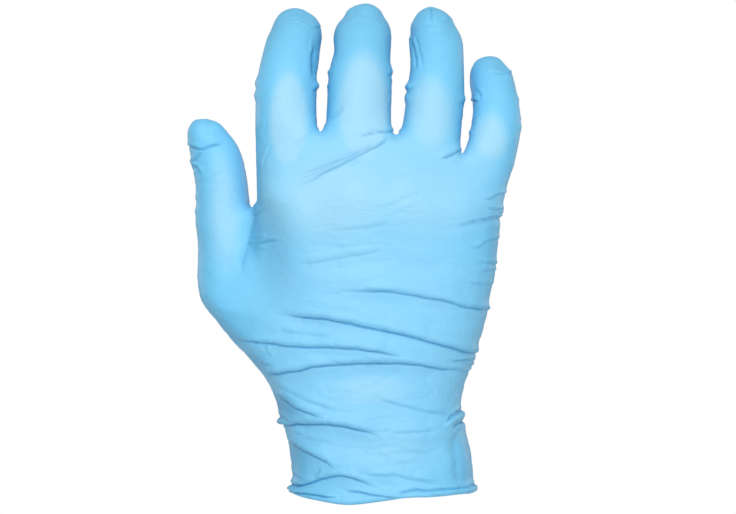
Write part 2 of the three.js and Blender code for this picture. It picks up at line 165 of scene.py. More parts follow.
@dataclass(frozen=True)
class Fold:
    """One fold of the slack film, along a line that is seen square on.

    The raised side is the left one of the way the line runs, so a line that runs in +X is raised
    above itself. A line that ends beyond the outline carries its fold round the side.

    Attributes:
        line: Places (x, z) along the fold.
        height: How far the raised side stands out.
        reach: Width of the raised side.
        form: Its cross-section.
        ends: Lengths over which the fold dies away at its start and its end.
        shade: Strength of the painted shade in its valley, from 0 to 1.
        face: The side of the glove.
    """

    line: tuple[tuple[float, float], ...]
    height: float = 0.6
    reach: float = 2.4
    form: FoldForm = FoldForm.TUCK
    ends: tuple[float, float] = (5.0, 5.0)
    shade: float = 0.5
    face: Face = Face.BACK

    def section(self, offset: np.ndarray) -> tuple[np.ndarray, np.ndarray]:
        """Cross-section of the fold.

        Args:
            offset: Distances from the line, positive on the raised side.

        Returns:
            The push outwards, and the painted shade in and beside the valley from 0 to 1.
        """
        if self.form is FoldForm.CREST:
            return self.height * bell(offset, 0.0, self.reach), np.zeros_like(offset)
        if self.form is FoldForm.CREASE:
            valley = bell(offset, 0.0, 0.3 * self.reach)
            banks = bell(offset, 0.7 * self.reach, 0.5 * self.reach)
            banks += bell(offset, -0.7 * self.reach, 0.5 * self.reach)
            return self.height * (0.4 * banks - valley), valley
        ridge = bell(offset, 0.5 * self.reach, 0.55 * self.reach)
        slit = max(0.3, 0.13 * self.reach)
        valley = bell(offset, -0.5 * slit, slit)
        slack = bell(offset, -0.9 * self.reach, 0.7 * self.reach)
        # Painted shadow on the underside of the ridge, above the slit
        shadow = 0.3 * bell(offset, 0.25 * self.reach, 0.35 * self.reach)
        return self.height * (ridge - 0.8 * valley + 0.12 * slack), np.maximum(valley, shadow)

    def weight(self, along: np.ndarray, length: float) -> np.ndarray:
        """How much of the fold's height is left at each distance along its line."""
        kept = np.ones_like(along)
        for gap, end in ((along, self.ends[0]), (length - along, self.ends[1])):
            if end > 0.0:
                kept = kept * ease(gap / end)
        return kept


@dataclass(frozen=True)
class Band:
    """A band beside the folds in which the mesh is cut finer.

    Attributes:
        half_width: Half its width.
        least_height: Height of the lowest fold of the back that has it.
        lumps: Whether the small lumps are cut finer too.
    """

    half_width: float
    least_height: float
    lumps: bool


FINE_BANDS = (Band(1.0, 0.0, True), Band(0.5, 0.5, False))


@dataclass(frozen=True)
class Lump:
    """A small swelling or dent of the film, as seen square on.

    Attributes:
        place: Its middle (x, z).
        radius: Its reach.
        height: How far it stands out, or sinks in where negative.
        upward: Whether it moves only film that faces up.
    """

    place: tuple[float, float]
    radius: float
    height: float
    upward: bool = False


@dataclass(frozen=True)
class Patch:
    """A soft-edged area of the back of the glove where the film is drawn taut and paler, with painted sheen,
    or lies in painted shade.

    Attributes:
        place: Its middle (x, z).
        radii: Half its width and half its height.
        strength: Its effect, from 0 to 1.
        blur: Width of its soft edge, as a share of its radii.
    """

    place: tuple[float, float]
    radii: tuple[float, float]
    strength: float = 1.0
    blur: float = 1.4


@dataclass(frozen=True)
class Joint:
    """Wrinkles of the film round one joint of a finger.

    Attributes:
        place: Middle of the joint.
        tilt: Turn of the finger there from upright towards the palm, in degrees.
        lean: Its turn towards the little finger, in degrees.
        girth: Half the finger's width there.
        height: Height of the wrinkles on the back and at the sides.
        spacing: Distance from one wrinkle to the next.
        crease: Depth of the crease on the palm's side.
    """

    place: tuple[float, float, float]
    tilt: float
    lean: float
    girth: float
    height: float = 0.1
    spacing: float = 2.6
    crease: float = 0.55

    def ahead(self) -> np.ndarray:
        """The finger's direction at the joint."""
        tilt, lean = math.radians(self.tilt), math.radians(self.lean)
        return np.array(
            [math.sin(lean) * math.cos(tilt), math.sin(tilt), math.cos(tilt) * math.cos(lean)]
        )


# Long folds over the wrist and the lower palm, and the short ones at their ends
WRIST_FOLDS = (
    Fold(((-38, 65.3), (-33, 64.4), (-22, 63.3), (-12, 61.6), (0, 59.2), (10, 57), (20, 54.2),
          (30, 51.4), (35.5, 50.6)), 0.9, 2.8, ends=(12, 4), shade=0.9),
    Fold(((-38, 59.6), (-30, 58.2), (-22, 57.4), (-15, 57)), 0.3, 3.0, ends=(6, 8), shade=0.2),
    Fold(((-56, 55.9), (-48, 55.2), (-40, 54.5), (-33, 53.5), (-20, 53.1), (-10, 52.7), (0, 51.4),
          (9, 49.2)), 0.85, 2.6, ends=(12, 12), shade=0.85),
    Fold(((-45, 44), (-38, 43.7), (-30, 45), (-23, 46.5), (-10, 47.4), (4, 47.6), (14, 46.8),
          (22, 45.3), (34, 46.2)), 0.85, 2.6, ends=(7, 18), shade=0.85),
    Fold(((22, 47.6), (28, 48.6), (37, 48)), 0.5, 1.3, ends=(5, 0), shade=0.5),
    Fold(((24, 45.2), (29, 44.6), (36, 44.6)), 0.4, 1.3, ends=(4, 0), shade=0.4),
    Fold(((-16, 72.8), (-5, 73), (4, 72.8), (14, 71), (22, 69.5), (30, 67.4), (40, 66)),
         0.65, 2.4, ends=(16, 4), shade=0.8),
    Fold(((29, 76.9), (35, 75.7), (43, 75)), 0.3, 1.3, ends=(5, 0), shade=0.3),
    Fold(((32, 84.4), (37, 83.3), (45, 82)), 0.4, 1.3, ends=(5, 0), shade=0.45),
    Fold(((32, 79.8), (37, 80.4), (44, 80)), 0.3, 1.2, ends=(5, 0), shade=0.3),
    Fold(((-31, 82.3), (-22, 83.8), (-12, 85.7), (-5, 86.6), (2, 89.2)), 0.3, 2.8, ends=(6, 9), shade=0.25),
    Fold(((-23, 87.8), (-8, 89.6), (4, 90.4)), 0.14, 3.0, ends=(10, 10), shade=0.08),
)
# Folds of the cuff down to the bead
CUFF_FOLDS = (
    Fold(((-41, 37.6), (-38, 36.2), (-34, 33.8), (-30, 31.2), (-26, 29.6), (-19, 27.6)),
         0.8, 2.6, ends=(6, 9), shade=0.8),
    Fold(((-39, 39), (-35, 37.8), (-28, 34.8), (-20, 32), (-13, 30.5)),
         0.4, 2.4, ends=(4, 11), shade=0.25),
    Fold(((-44, 24.6), (-35, 25.4), (-29, 26.1), (-22, 26.1), (-15, 25.5), (-9, 24.2), (-4, 22.8),
          (1, 20.6)), 1.0, 2.8, ends=(0, 13), shade=0.85),
    Fold(((-42, 29), (-36.5, 28.2), (-32.5, 26.5)), 0.6, 1.8, FoldForm.CREASE, (0, 3), 0.8),
    Fold(((-35.5, 21), (-33, 19.4), (-29, 16.8), (-24, 14.4), (-20, 12.3), (-17.4, 9.8)),
         0.8, 2.6, ends=(5, 5), shade=0.75),
    Fold(((-34, 24), (-31, 22.6), (-24, 20.3), (-14, 18.8)), 0.35, 2.4, ends=(4, 9), shade=0.2),
    Fold(((-22.3, 11.2), (-22.8, 9), (-24.6, 7)), 0.4, 1.6, ends=(2, 2), shade=0.4),
    Fold(((-36, 4.3), (-31, 4.1), (-27, 4.5), (-23.5, 5.8), (-20, 7), (-16, 7.7), (-12, 7.2),
          (-8, 6), (-3, 4.2)), 0.8, 2.0, ends=(4, 8), shade=0.8),
    Fold(((-33, 8.2), (-31, 7.5), (-28, 6.1), (-25, 5.4)), 0.35, 1.5, ends=(2, 3), shade=0.5),
    Fold(((-14, 2.6), (-8, 2), (-2, 1), (5, 0)), 0.5, 1.4, ends=(4, 3), shade=0.7),
    Fold(((-40, 2.1), (-33.5, 1.7), (-28, 1.3), (-22, 0.8), (-15, 0)), 0.7, 1.6, ends=(0, 6), shade=0.9),
    Fold(((4, 1.3), (11, 2.7), (16, 2.5), (24, 3.1), (31, 3.8), (37, 4.8)),
         0.4, 1.6, FoldForm.CREASE, (4, 0), 0.75),
    Fold(((-8, 8.2), (0, 7.9), (5, 8), (10, 6.8), (16, 5.8), (22, 4.6)), 0.4, 2.0, shade=0.3),
    Fold(((21.5, 24.6), (25.5, 27.8), (29.5, 29.3), (36, 29.8)), 0.8, 1.1, FoldForm.CREST, (3, 0)),
    Fold(((21.5, 26), (25, 29), (28.5, 30.7), (36, 31.4)), 0.5, 1.5, FoldForm.CREASE, (3, 0), 0.6),
    Fold(((24, 23.8), (28, 26.5), (35, 27.2)), 0.6, 1.8, FoldForm.CREASE, (3, 0), 0.6),
    Fold(((-5, 35.8), (5, 33.1), (12, 31.4), (18, 30.2), (25, 29.2)), 0.45, 2.6, ends=(9, 4), shade=0.3),
    Fold(((-1, 23.2), (10, 23.1), (21, 24.4)), 0.35, 2.4, ends=(7, 6), shade=0.25),
    Fold(((-4, 15.2), (8, 16.2), (19, 15.6)), 0.22, 2.6, ends=(9, 9), shade=0.1),
    Fold(((1, 10.2), (7, 12.2), (14, 13)), 0.2, 2.4, ends=(5, 6), shade=0.1),
    Fold(((27.4, 24.5), (25.8, 18), (26, 10), (27.4, 4)), 0.6, 5.0, FoldForm.CREASE, (5, 4), 0.25),
    Fold(((21.4, 44), (21.6, 38), (22.6, 32)), 0.1, 1.2, ends=(4, 4), shade=0.12),
    Fold(((24.8, 43), (24.4, 38), (25, 33)), 0.1, 1.2, ends=(4, 4), shade=0.12),
    Fold(((-45, 48), (-42, 47.2), (-38, 46)), 0.35, 1.5, ends=(3, 4), shade=0.4),
    Fold(((-42, 54.4), (-41.3, 51.5), (-39.6, 48.6)), 0.25, 1.3, ends=(1.5, 2), shade=0.3),
)
# Fine folds that run out of the webs of the fingers
WEB_FOLDS = (
    Fold(((-10.5, 128.2), (-4, 129.4), (0, 130), (5, 130.4)), 0.45, 1.4, ends=(5, 0), shade=0.75),
    Fold(((-34, 113.4), (-23, 117), (-18, 119), (-14, 120.3), (-10, 121.8), (-6, 124), (-2, 126)),
         0.45, 1.5, ends=(17, 4), shade=0.75),
    Fold(((-34, 111.4), (-25, 115), (-20, 117), (-16, 118.7), (-11, 120.9)),
         0.3, 1.2, ends=(14, 6), shade=0.5),
    Fold(((-34, 108.8), (-26, 112.5), (-21, 115.3), (-17, 117), (-12, 119.8), (-7, 122.3), (-2, 125),
          (2.5, 128)), 0.5, 1.6, ends=(18, 4), shade=0.7),
    Fold(((-13, 117.5), (-7.5, 119.8)), 0.25, 1.2, ends=(2.5, 2.5), shade=0.3),
    Fold(((-3.5, 110.3), (3, 112.5), (8, 114.5), (17, 116)), 0.17, 2.4, ends=(8, 8), shade=0.1),
    Fold(((-5, 102.4), (3, 104), (8, 106.5), (17, 110)), 0.2, 2.6, ends=(9, 9), shade=0.12),
    Fold(((0, 98.8), (8, 102.5), (16, 106)), 0.12, 2.2, ends=(7, 7), shade=0.08),
    Fold(((-24, 94.6), (-8, 95.4), (-2, 96.5), (4, 99.2)), 0.22, 3.0, ends=(12, 6), shade=0.12),
    Fold(((20, 120.4), (23.4, 121.4), (27, 123.2)), 0.5, 1.6, ends=(2.5, 0), shade=0.75),
    Fold(((-20.6, 133.2), (-19, 134.4), (-16, 137), (-13, 141)), -0.4, 1.6, ends=(0, 3), shade=0.4),
    Fold(((-34, 124.6), (-28, 128), (-23, 131.6)), -0.3, 1.8, ends=(4, 0), shade=0.3),
    Fold(((47, 100.8), (42.2, 100), (38, 99.3), (34, 98.5), (29, 97.3), (24, 96)),
         -0.6, 1.8, ends=(0, 8), shade=0.75),
    Fold(((35.5, 106.4), (38.5, 106), (40.5, 107.4), (45, 108)), 0.3, 1.4, ends=(2, 0), shade=0.35),
    Fold(((36.5, 103.6), (39, 102.4), (45, 102.6)), 0.3, 1.4, ends=(2, 0), shade=0.35),
    Fold(((30, 88.4), (34, 88.8), (38, 91.2), (45, 91.6)), 0.3, 1.8, ends=(4, 0), shade=0.3),
)
# Folds of the thumb and of its web
THUMB_FOLDS = (
    Fold(((-73, 126.4), (-68, 125), (-65, 124.3), (-63, 125.2), (-60.5, 125.8), (-57.5, 125.4)),
         0.5, 1.4, ends=(0, 2.5), shade=0.85),
    Fold(((-72, 118.6), (-68, 120.2), (-66.6, 122), (-64.8, 123.8)), 0.4, 1.2, ends=(0, 1.5), shade=0.7),
    Fold(((-72, 119.8), (-67.6, 118.2), (-66.3, 116.8), (-65, 114.6)), 0.45, 1.3, ends=(0, 2), shade=0.6),
    Fold(((-66, 112.5), (-62, 113.4), (-57, 116.6)), 0.2, 1.8, ends=(3, 4), shade=0.15),
    Fold(((-46.2, 100.4), (-45.2, 100.6), (-43, 102.6)), 0.4, 1.3, ends=(0, 1.5), shade=0.8),
    Fold(((-48.6, 89.8), (-45, 90.1), (-42, 90.9), (-35.5, 91.6)), 0.45, 1.5, ends=(1.5, 5), shade=0.75),
    Fold(((-47.5, 92.6), (-44.5, 91.9), (-41, 92.4)), 0.3, 1.2, ends=(2, 2), shade=0.4),
    Fold(((-47.5, 88.9), (-44, 88.2), (-41, 88)), 0.25, 1.3, ends=(2, 2), shade=0.3),
    Fold(((-46.6, 101), (-47.6, 95), (-49.4, 88), (-50.8, 83), (-51, 78)),
         0.5, 3.6, FoldForm.CREASE, (0, 7), 0.35),
)
# Folds of the fingers, from the index finger outwards
FINGER_FOLDS = (
    Fold(((-24.6, 162.5), (-25.2, 157), (-24.8, 150)), 0.7, 2.6, FoldForm.CREASE, (4, 2), 0.7),
    Fold(((-26, 166), (-27, 162), (-26.8, 158)), 0.25, 1.5, ends=(2, 2), shade=0.2),
    Fold(((-34.5, 172.6), (-32.5, 173.8), (-29.6, 173.4), (-26.5, 171.4)),
         -0.25, 1.3, ends=(1, 2), shade=0.25),
    Fold(((-34, 171.2), (-31.6, 170.2), (-28.8, 171.2)), 0.2, 1.2, ends=(1.5, 1.5), shade=0.25),
    Fold(((-27, 169.4), (-24.6, 168.8), (-20, 170)), 0.2, 1.3, ends=(1.5, 1), shade=0.4),
    Fold(((-43.6, 116), (-42.6, 119.5), (-41, 123.2), (-39, 127.6)), 0.25, 1.6, ends=(3, 4), shade=0.3),
    Fold(((-44.4, 126), (-42.4, 130), (-41.6, 136)), 0.2, 1.4, ends=(2, 3), shade=0.25),
    Fold(((14, 153), (13.9, 157), (12.8, 161.4), (11.8, 166)), 0.5, 1.6, ends=(4, 2), shade=0.6),
    Fold(((11.8, 152), (11.6, 158), (10.6, 164.5)), 0.5, 1.5, ends=(3, 0), shade=0.6),
    Fold(((17.8, 174.6), (17.8, 169.6)), 0.45, 1.3, FoldForm.CREASE, (0, 2), 0.6),
    Fold(((21, 172.4), (23, 171.4), (24.6, 172)), 0.3, 1.2, ends=(1.5, 0), shade=0.3),
    Fold(((31, 140.9), (32.6, 141.6), (34.6, 141.2)), 0.6, 1.4, ends=(0, 1.5), shade=0.85),
    Fold(((33, 147), (35.2, 144), (35.6, 142)), 0.3, 1.3, ends=(2, 1), shade=0.3),
    Fold(((41, 152.6), (44.6, 151.8), (48, 152.6)), 0.4, 1.3, ends=(2, 0), shade=0.45),
    Fold(((-22.5, 152.6), (-19, 151.6), (-16.4, 152.6)), 0.3, 1.4, ends=(0, 2), shade=0.3),
    Fold(((1, 151.4), (3, 151.2), (7, 152)), 0.3, 1.4, ends=(1.5, 0), shade=0.6),
    Fold(((-26, 145.4), (-24.2, 145.6), (-20, 146.4)), 0.3, 1.3, ends=(1.5, 0), shade=0.7),
    Fold(((6, 145.2), (9.4, 145.6), (11.4, 146.8)), 0.3, 1.3, ends=(0, 1.5), shade=0.7),
    Fold(((26.6, 140.8), (28.4, 141), (30, 141.2)), 0.25, 1.3, ends=(1.5, 0), shade=0.5),
)
# Folds and creases of the palm's side
PALM_FOLDS = (
    Fold(((-36, 45), (-5, 39), (30, 45)), 0.8, 3.2, face=Face.PALM),
    Fold(((-36, 33), (0, 36), (28, 31)), 0.8, 3.0, face=Face.PALM),
    Fold(((-32, 22), (4, 19), (32, 23)), 0.8, 3.0, face=Face.PALM),
    Fold(((-31, 10), (0, 12.5), (30, 9)), 0.7, 2.6, face=Face.PALM),
    Fold(((-33, 4.5), (0, 6), (30, 5)), 0.4, 2.0, face=Face.PALM),
    Fold(((-44, 104), (-24, 107), (-12, 111)), 0.5, 3.6, FoldForm.CREASE, (9, 9), 0.3, Face.PALM),
    Fold(((-14, 104), (8, 101), (38, 95)), 0.5, 3.6, FoldForm.CREASE, (9, 9), 0.3, Face.PALM),
    Fold(((-40, 101), (-24, 90), (-17, 70), (-18, 48)),
         0.45, 4.0, FoldForm.CREASE, (10, 16), 0.25, Face.PALM),
)
# Gathered film on the outline, and slack or tight places of the tips and webs
LUMPS = (
    Lump((-68.2, 131.0), 4.4, 1.5), Lump((-62.5, 135.4), 2.0, -0.5),
    Lump((-56.5, 130), 4.0, -0.6), Lump((-68.2, 118.8), 1.1, 0.6),
    Lump((-67.8, 107), 1.3, 0.4), Lump((-67.8, 102), 1.3, 0.4), Lump((-46.1, 104.6), 2.6, -4.2, True),
    Lump((-41.5, 169), 4.0, -0.8), Lump((-39, 173), 3.0, -0.3), Lump((-27, 174.4), 3.0, -0.7),
    Lump((-45.4, 148.3), 1.5, 0.6), Lump((-46.1, 143.5), 1.6, 0.65), Lump((-23.6, 147.2), 1.3, 0.9),
    Lump((-15.5, 173.8), 3.0, -1.1), Lump((-5.5, 176.8), 2.4, 0.6), Lump((-11, 175.4), 1.8, -0.5),
    Lump((1.4, 173.6), 3.0, -0.9), Lump((-20.1, 151.7), 1.2, 0.8), Lump((-19.4, 160), 3.0, -0.7),
    Lump((4.2, 153), 1.7, 1.0), Lump((3.8, 148.8), 1.0, 0.4), Lump((9.8, 170.4), 2.0, 0.5),
    Lump((9, 147), 1.2, 0.8), Lump((8.1, 142.6), 1.3, 0.7), Lump((29.2, 142.5), 1.2, 0.35),
    Lump((30.8, 130.4), 1.1, 0.6), Lump((43.8, 154.8), 2.6, -1.1), Lump((45.4, 151.2), 1.1, 0.5),
    Lump((49.2, 132), 1.0, 0.35), Lump((49.2, 142.3), 1.2, 0.35), Lump((42.9, 101.8), 1.4, 0.8),
    Lump((37.9, 67), 1.0, 0.5), Lump((31.9, 47.4), 1.1, 0.5), Lump((33.8, 51.8), 1.1, 0.45),
    Lump((29.9, 29.6), 1.5, 0.9), Lump((-36.6, 27), 1.9, 0.8), Lump((17, 174.4), 5.0, 1.5),
    Lump((26, 169.4), 3.4, -0.9),
)
# Where the film is drawn taut and pale, which also paints the sheen and highlights of its lit plateaus
STRETCHED_AND_SHEEN = (
    Patch((-33.8, 134), (6.8, 17.4), 1.0, 0.45), Patch((-7, 138), (9.0, 20.4), 1.0, 0.45),
    Patch((17, 136), (7.6, 13.5), 0.9, 0.8), Patch((38.5, 128), (5.8, 8.5), 0.95, 0.8),
    Patch((-57, 102), (5.0, 18.0), 0.8), Patch((-18, 108), (24.0, 18.0), 0.9),
    Patch((12, 108), (24.0, 16.0), 0.7), Patch((-12, 84), (20.0, 14.0), 0.5),
    Patch((-4, 38), (15.0, 6.0), 0.75), Patch((2, 18), (15.0, 9.0), 0.5),
    Patch((-4, 55), (42.0, 55.0), 0.32, 0.8), Patch((-4, 118), (38.0, 12.0), 0.6, 0.8),
    Patch((32, 119), (9.0, 10.0), 0.45, 0.8),
)
# Where the film lies in shade, painted darker into its colour
SHADED = (
    Patch((-45.8, 93), (2.6, 8.0), 0.55, 1.0), Patch((-54, 60), (11.0, 6.0), 0.3),
    Patch((-36, 31), (5.5, 5.0), 0.65), Patch((-31, 12), (4.5, 8.0), 0.5),
    Patch((-44.5, 110), (1.8, 13.0), 0.25), Patch((29, 14), (3.5, 10.0), 0.25),
    Patch((-45, 47.5), (5.0, 3.5), 0.4), Patch((39, 88), (2.5, 8.0), 0.25),
)
# Joints of the fingers and the thumb, then the roots of the fingers
JOINTS = (
    Joint((-35, 11.5, 146.5), 34, 3, 11.3),
    Joint((-32.5, 30.5, 162.5), 58, 9, 10.2, 0.08),
    Joint((-8.5, 12, 147), 35, 3, 11.9),
    Joint((-7.5, 33, 164), 59, 5, 10.8, 0.08),
    Joint((19, 12, 143), 33, 5, 10.8),
    Joint((20, 30.5, 161), 54, -4, 9.8, 0.08),
    Joint((41, 10.5, 133.5), 34, 4, 9.2, 0.12),
    Joint((40, 24, 147), 55, -8, 8.4, 0.08),
    Joint((-59, 16.5, 117), 10, -12, 9.8, 0.14),
    Joint((-34.5, 4, 125), 19, -1, 11.6, 0.0, crease=0.5),
    Joint((-9, 4, 124.5), 19, 2, 12.0, 0.0, crease=0.5),
    Joint((16, 4, 120.5), 19, 7, 11.0, 0.0, crease=0.5),
    Joint((37.5, 4, 117.5), 21, 12, 9.4, 0.0, crease=0.5),
)

# Height, size and sharpness of the film's unevenness, from coarse to fine
CRUMPLES = ((0.4, 9.0, False), (0.14, 3.6, False), (0.24, 6.0, True), (0.13, 2.6, True))


class Skin:
    """The places of a mesh, with the way out of the film at each, and what moves them."""

    def __init__(self, mesh: bpy.types.Mesh, outside: np.ndarray) -> None:
        """Reads the mesh.

        Args:
            mesh: The film's mesh.
            outside: True for each vertex of the outer skin and the bead.
        """
        count = len(mesh.vertices)
        places = np.empty(count * 3)
        normals = np.empty(count * 3)
        mesh.vertices.foreach_get("co", places)
        mesh.vertices.foreach_get("normal", normals)
        self.mesh = mesh
        self.places = places.reshape(-1, 3) / MM
        self.outward = normals.reshape(-1, 3) * np.where(outside, 1.0, -1.0)[:, None]
        spread = self.places / np.array([WRIST_HALVES[0], WRIST_HALVES[1], 1.0]) ** 2
        spread[:, 2] = 0.0
        spread /= np.linalg.norm(spread, axis=1)[:, None]
        rim = ease((RIM_TOP - self.places[:, 2]) / RIM_FADE)[:, None]
        self.outward += rim * (spread - self.outward)
        self.push = np.zeros(count)
        # Painted shade, and the paler tint of taut film with its painted sheen
        self.crease = np.zeros(count)
        self.stretch = np.zeros(count)

    def facing(self, face: Face) -> np.ndarray:
        """Share from 0 to 1 of how far each place lies on a side of the glove."""
        return ease((self.outward[:, 1] * face.value + FACE_EDGE[face]) / FACE_FADE)

    def near(self, fold: Fold, margin: float) -> tuple[np.ndarray, np.ndarray, np.ndarray, float]:
        """Measures the places beside a fold's line.

        Args:
            fold: The fold.
            margin: How far from the line to look.

        Returns:
            The numbers of the places beside it, their distances from the line, positive on its
            raised side, their distances along it, and its whole length.
        """
        line = curve_through(fold.line)
        flat = self.places[:, [0, 2]]
        low, high = line.min(0) - margin, line.max(0) + margin
        picked = np.flatnonzero(np.all((flat > low) & (flat < high), axis=1))
        start, span = line[:-1], np.diff(line, axis=0)
        length = np.linalg.norm(span, axis=1)
        beside = flat[picked][:, None, :] - start[None]
        share = np.clip((beside * span).sum(2) / length**2, 0.0, 1.0)
        gap = np.linalg.norm(beside - share[..., None] * span, axis=2)
        nearest = gap.argmin(1)
        rows = np.arange(len(picked))
        side = span[nearest, 0] * beside[rows, nearest, 1] - span[nearest, 1] * beside[rows, nearest, 0]
        run = np.concatenate([[0.0], np.cumsum(length)])
        along = run[nearest] + share[rows, nearest] * length[nearest]
        return picked, np.where(side < 0, -1.0, 1.0) * gap[rows, nearest], along, run[-1]

    def lay_fold(self, fold: Fold) -> None:
        """Adds one fold to the push and to the painted shade of its valley."""
        picked, offset, along, length = self.near(fold, 4.0 * fold.reach)
        stray = [noise.noise(Vector(p)) for p in self.places[picked] * STRAY_PACE]
        push, valley = fold.section(offset + STRAY * np.array(stray))
        weight = fold.weight(along, length) * self.facing(fold.face)[picked]
        self.push[picked] += push * weight
        # Painted shade of the valley
        self.crease[picked] = np.maximum(self.crease[picked], fold.shade * valley * weight)

    def swell(self, lump: Lump) -> None:
        """Adds one lump or dent to the push."""
        gap = np.linalg.norm(self.places[:, [0, 2]] - lump.place, axis=1)
        share = np.clip(self.outward[:, 2], 0.0, 1.0) ** 2 if lump.upward else 1.0
        self.push += lump.height * bell(gap, 0.0, lump.radius) * share

    def patch(self, patch: Patch) -> np.ndarray:
        """How far a patch covers each place, from 0 to 1, on the back of the glove."""
        away = np.linalg.norm((self.places[:, [0, 2]] - patch.place) / patch.radii, axis=1)
        cover = ease((1.0 + 0.5 * patch.blur - away) / patch.blur)
        return patch.strength * cover * self.facing(Face.BACK)

    def at_joint(self, joint: Joint) -> np.ndarray:
        """True for each place on the finger beside a joint."""
        offset = self.places - np.array(joint.place)
        along = offset @ joint.ahead()
        across = np.linalg.norm(offset - along[:, None] * joint.ahead(), axis=1)
        return (np.abs(along) < JOINT_REACH + 2.0) & (across < 1.75 * joint.girth)

    def wrinkle_joint(self, joint: Joint) -> None:
        """Adds the wrinkles on the back of a joint and the crease on its palm side, with painted shade in
        that crease.
        """
        ahead = joint.ahead()
        offset = self.places - np.array(joint.place)
        along = offset @ ahead
        across = np.linalg.norm(offset - along[:, None] * ahead, axis=1)
        close = ease((1.75 * joint.girth - across) / (0.35 * joint.girth))
        palm = ease((self.outward @ np.array([0.0, ahead[2], -ahead[1]]) - 0.1) / 0.6)
        wander = 0.35 * np.sin(offset[:, 0] * 0.45 + joint.place[0]) + 0.2 * np.sin(offset[:, 0] * 1.1)
        ripple = np.cos(2.0 * math.pi * (along + wander) / joint.spacing)
        band = bell(along, 0.0, JOINT_REACH)
        self.push += joint.height * ripple * band * close * (1.0 - palm)
        valley = bell(along + 0.6 * wander, 0.0, CREASE_HALF) * close * palm
        banks = (bell(along, 2.4, 2.0) + bell(along, -2.4, 2.0)) * close * palm
        self.push += joint.crease * (0.35 * banks - valley)
        # Painted shade in the crease
        self.crease = np.maximum(self.crease, 0.35 * valley)

    def crumple(self, height: float, size: float, where: np.ndarray, sharp: bool = False) -> None:
        """Adds slight unevenness, drawn out across the glove.

        Args:
            height: Its height.
            size: Distance between its hollows.
            where: Share from 0 to 1 of how far it shows at each place.
            sharp: Whether its hollows are narrow, like fine creases.
        """
        stretch = np.array(DRAWN_OUT) / size
        values = np.array([noise.noise(Vector(p)) for p in self.places * stretch])
        if sharp:
            values = -bell(values, 0.0, FINE_CREASE)
        self.push += height * where * values

    def write(self) -> None:
        """Moves the mesh's places and stores the painted shade of its valleys and shaded places, and the
        paler tint of its taut places with their painted sheen.
        """
        moved = (self.places + self.outward * self.push[:, None]) * MM
        self.mesh.vertices.foreach_set("co", moved.ravel())
        for name, values in (("crease", self.crease), ("stretch", self.stretch)):
            layer = self.mesh.attributes.new(name, "FLOAT", "POINT")
            layer.data.foreach_set("value", np.clip(values, 0.0, 1.0).astype(np.float32))
        self.mesh.update()


class Wire:
    """A shader socket, or a number in its place, that takes part in sums."""

    def __init__(self, bench: "ShaderBench", socket: bpy.types.NodeSocket) -> None:
        """Keeps the bench that adds nodes and the socket that gives the value."""
        self.bench = bench
        self.socket = socket

    def _math(self, operation: str, first: "Wire | float", second: "Wire | float") -> "Wire":
        """Adds one Math node."""
        return self.bench.node("ShaderNodeMath", {"operation": operation}, {0: first, 1: second})

    def __add__(self, other: "Wire | float") -> "Wire":
        """Sum."""
        return self._math("ADD", self, other)

    def __radd__(self, other: float) -> "Wire":
        """Sum with a number on the left."""
        return self._math("ADD", other, self)

    def __mul__(self, other: "Wire | float") -> "Wire":
        """Product."""
        return self._math("MULTIPLY", self, other)

    def __rmul__(self, other: float) -> "Wire":
        """Product with a number on the left."""
        return self._math("MULTIPLY", other, self)


class ShaderBench:
    """Adds nodes to one material."""

    def __init__(self, name: str) -> None:
        """Starts a material with its surface shader and output."""
        self.material = bpy.data.materials.new(name)
        self.material.use_nodes = True
        self.tree = self.material.node_tree
        self.tree.nodes.clear()

    def node(
        self,
        kind: str,
        settings: dict[str, object] | None = None,
        inputs: dict[str | int, object] | None = None,
        output: str | int = 0,
    ) -> Wire:
        """Adds a node.

        Args:
            kind: The node's type.
            settings: Its own settings.
            inputs: Values or wires for its sockets.
            output: The socket that is returned.

        Returns:
            The wire of that socket.
        """
        made = self.tree.nodes.new(kind)
        for key, value in (settings or {}).items():
            setattr(made, key, value)
        for key, value in (inputs or {}).items():
            if isinstance(value, Wire):
                self.tree.links.new(value.socket, made.inputs[key])
            else:
                made.inputs[key].default_value = value
        return Wire(self, made.outputs[output]) if made.outputs else Wire(self, None)

    def mix(self, share: Wire | float, first: Wire | tuple, second: Wire | tuple) -> Wire:
        """Mixes two colours.

        Args:
            share: How much of the second, from 0 to 1.
            first: A colour or a wire.
            second: A colour or a wire.

        Returns:
            The wire of the mixed colour.
        """
        return self.node(
            "ShaderNodeMix",
            {"data_type": "RGBA", "clamp_factor": True},
            {0: share, 6: first, 7: second},
            2,
        )

    def noise(self, scale: float, detail: float, place: Wire, rough: float = 0.5) -> Wire:
        """Soft noise from about 0 to 1 at a place, with its scale in hollows per metre."""
        inputs = {"Vector": place, "Scale": scale, "Detail": detail, "Roughness": rough}
        return self.node("ShaderNodeTexNoise", None, inputs)

    def attribute(self, name: str) -> Wire:
        """A number that the mesh holds at each vertex."""
        return self.node("ShaderNodeAttribute", {"attribute_name": name}, None, "Fac")

    def place(self, stretch: tuple[float, float, float] = (1.0, 1.0, 1.0)) -> Wire:
        """The object's own coordinates, scaled along each axis."""
        coordinates = self.node("ShaderNodeTexCoord", None, None, "Object")
        return self.node("ShaderNodeMapping", None, {"Vector": coordinates, "Scale": stretch})

    def finish(self, inputs: dict[str, object]) -> bpy.types.Material:
        """Adds the surface shader with its inputs and returns the material."""
        shader = self.node("ShaderNodeBsdfPrincipled", None, inputs)
        self.node("ShaderNodeOutputMaterial", None, {"Surface": shader})
        return self.material


def screen_colour(red: int, green: int, blue: int) -> tuple[float, float, float, float]:
    """A colour as a screen shows it, in the linear values that the shader takes."""
    linear = [((v / 255 + 0.055) / 1.055) ** 2.4 for v in (red, green, blue)]
    return (*linear, 1.0)


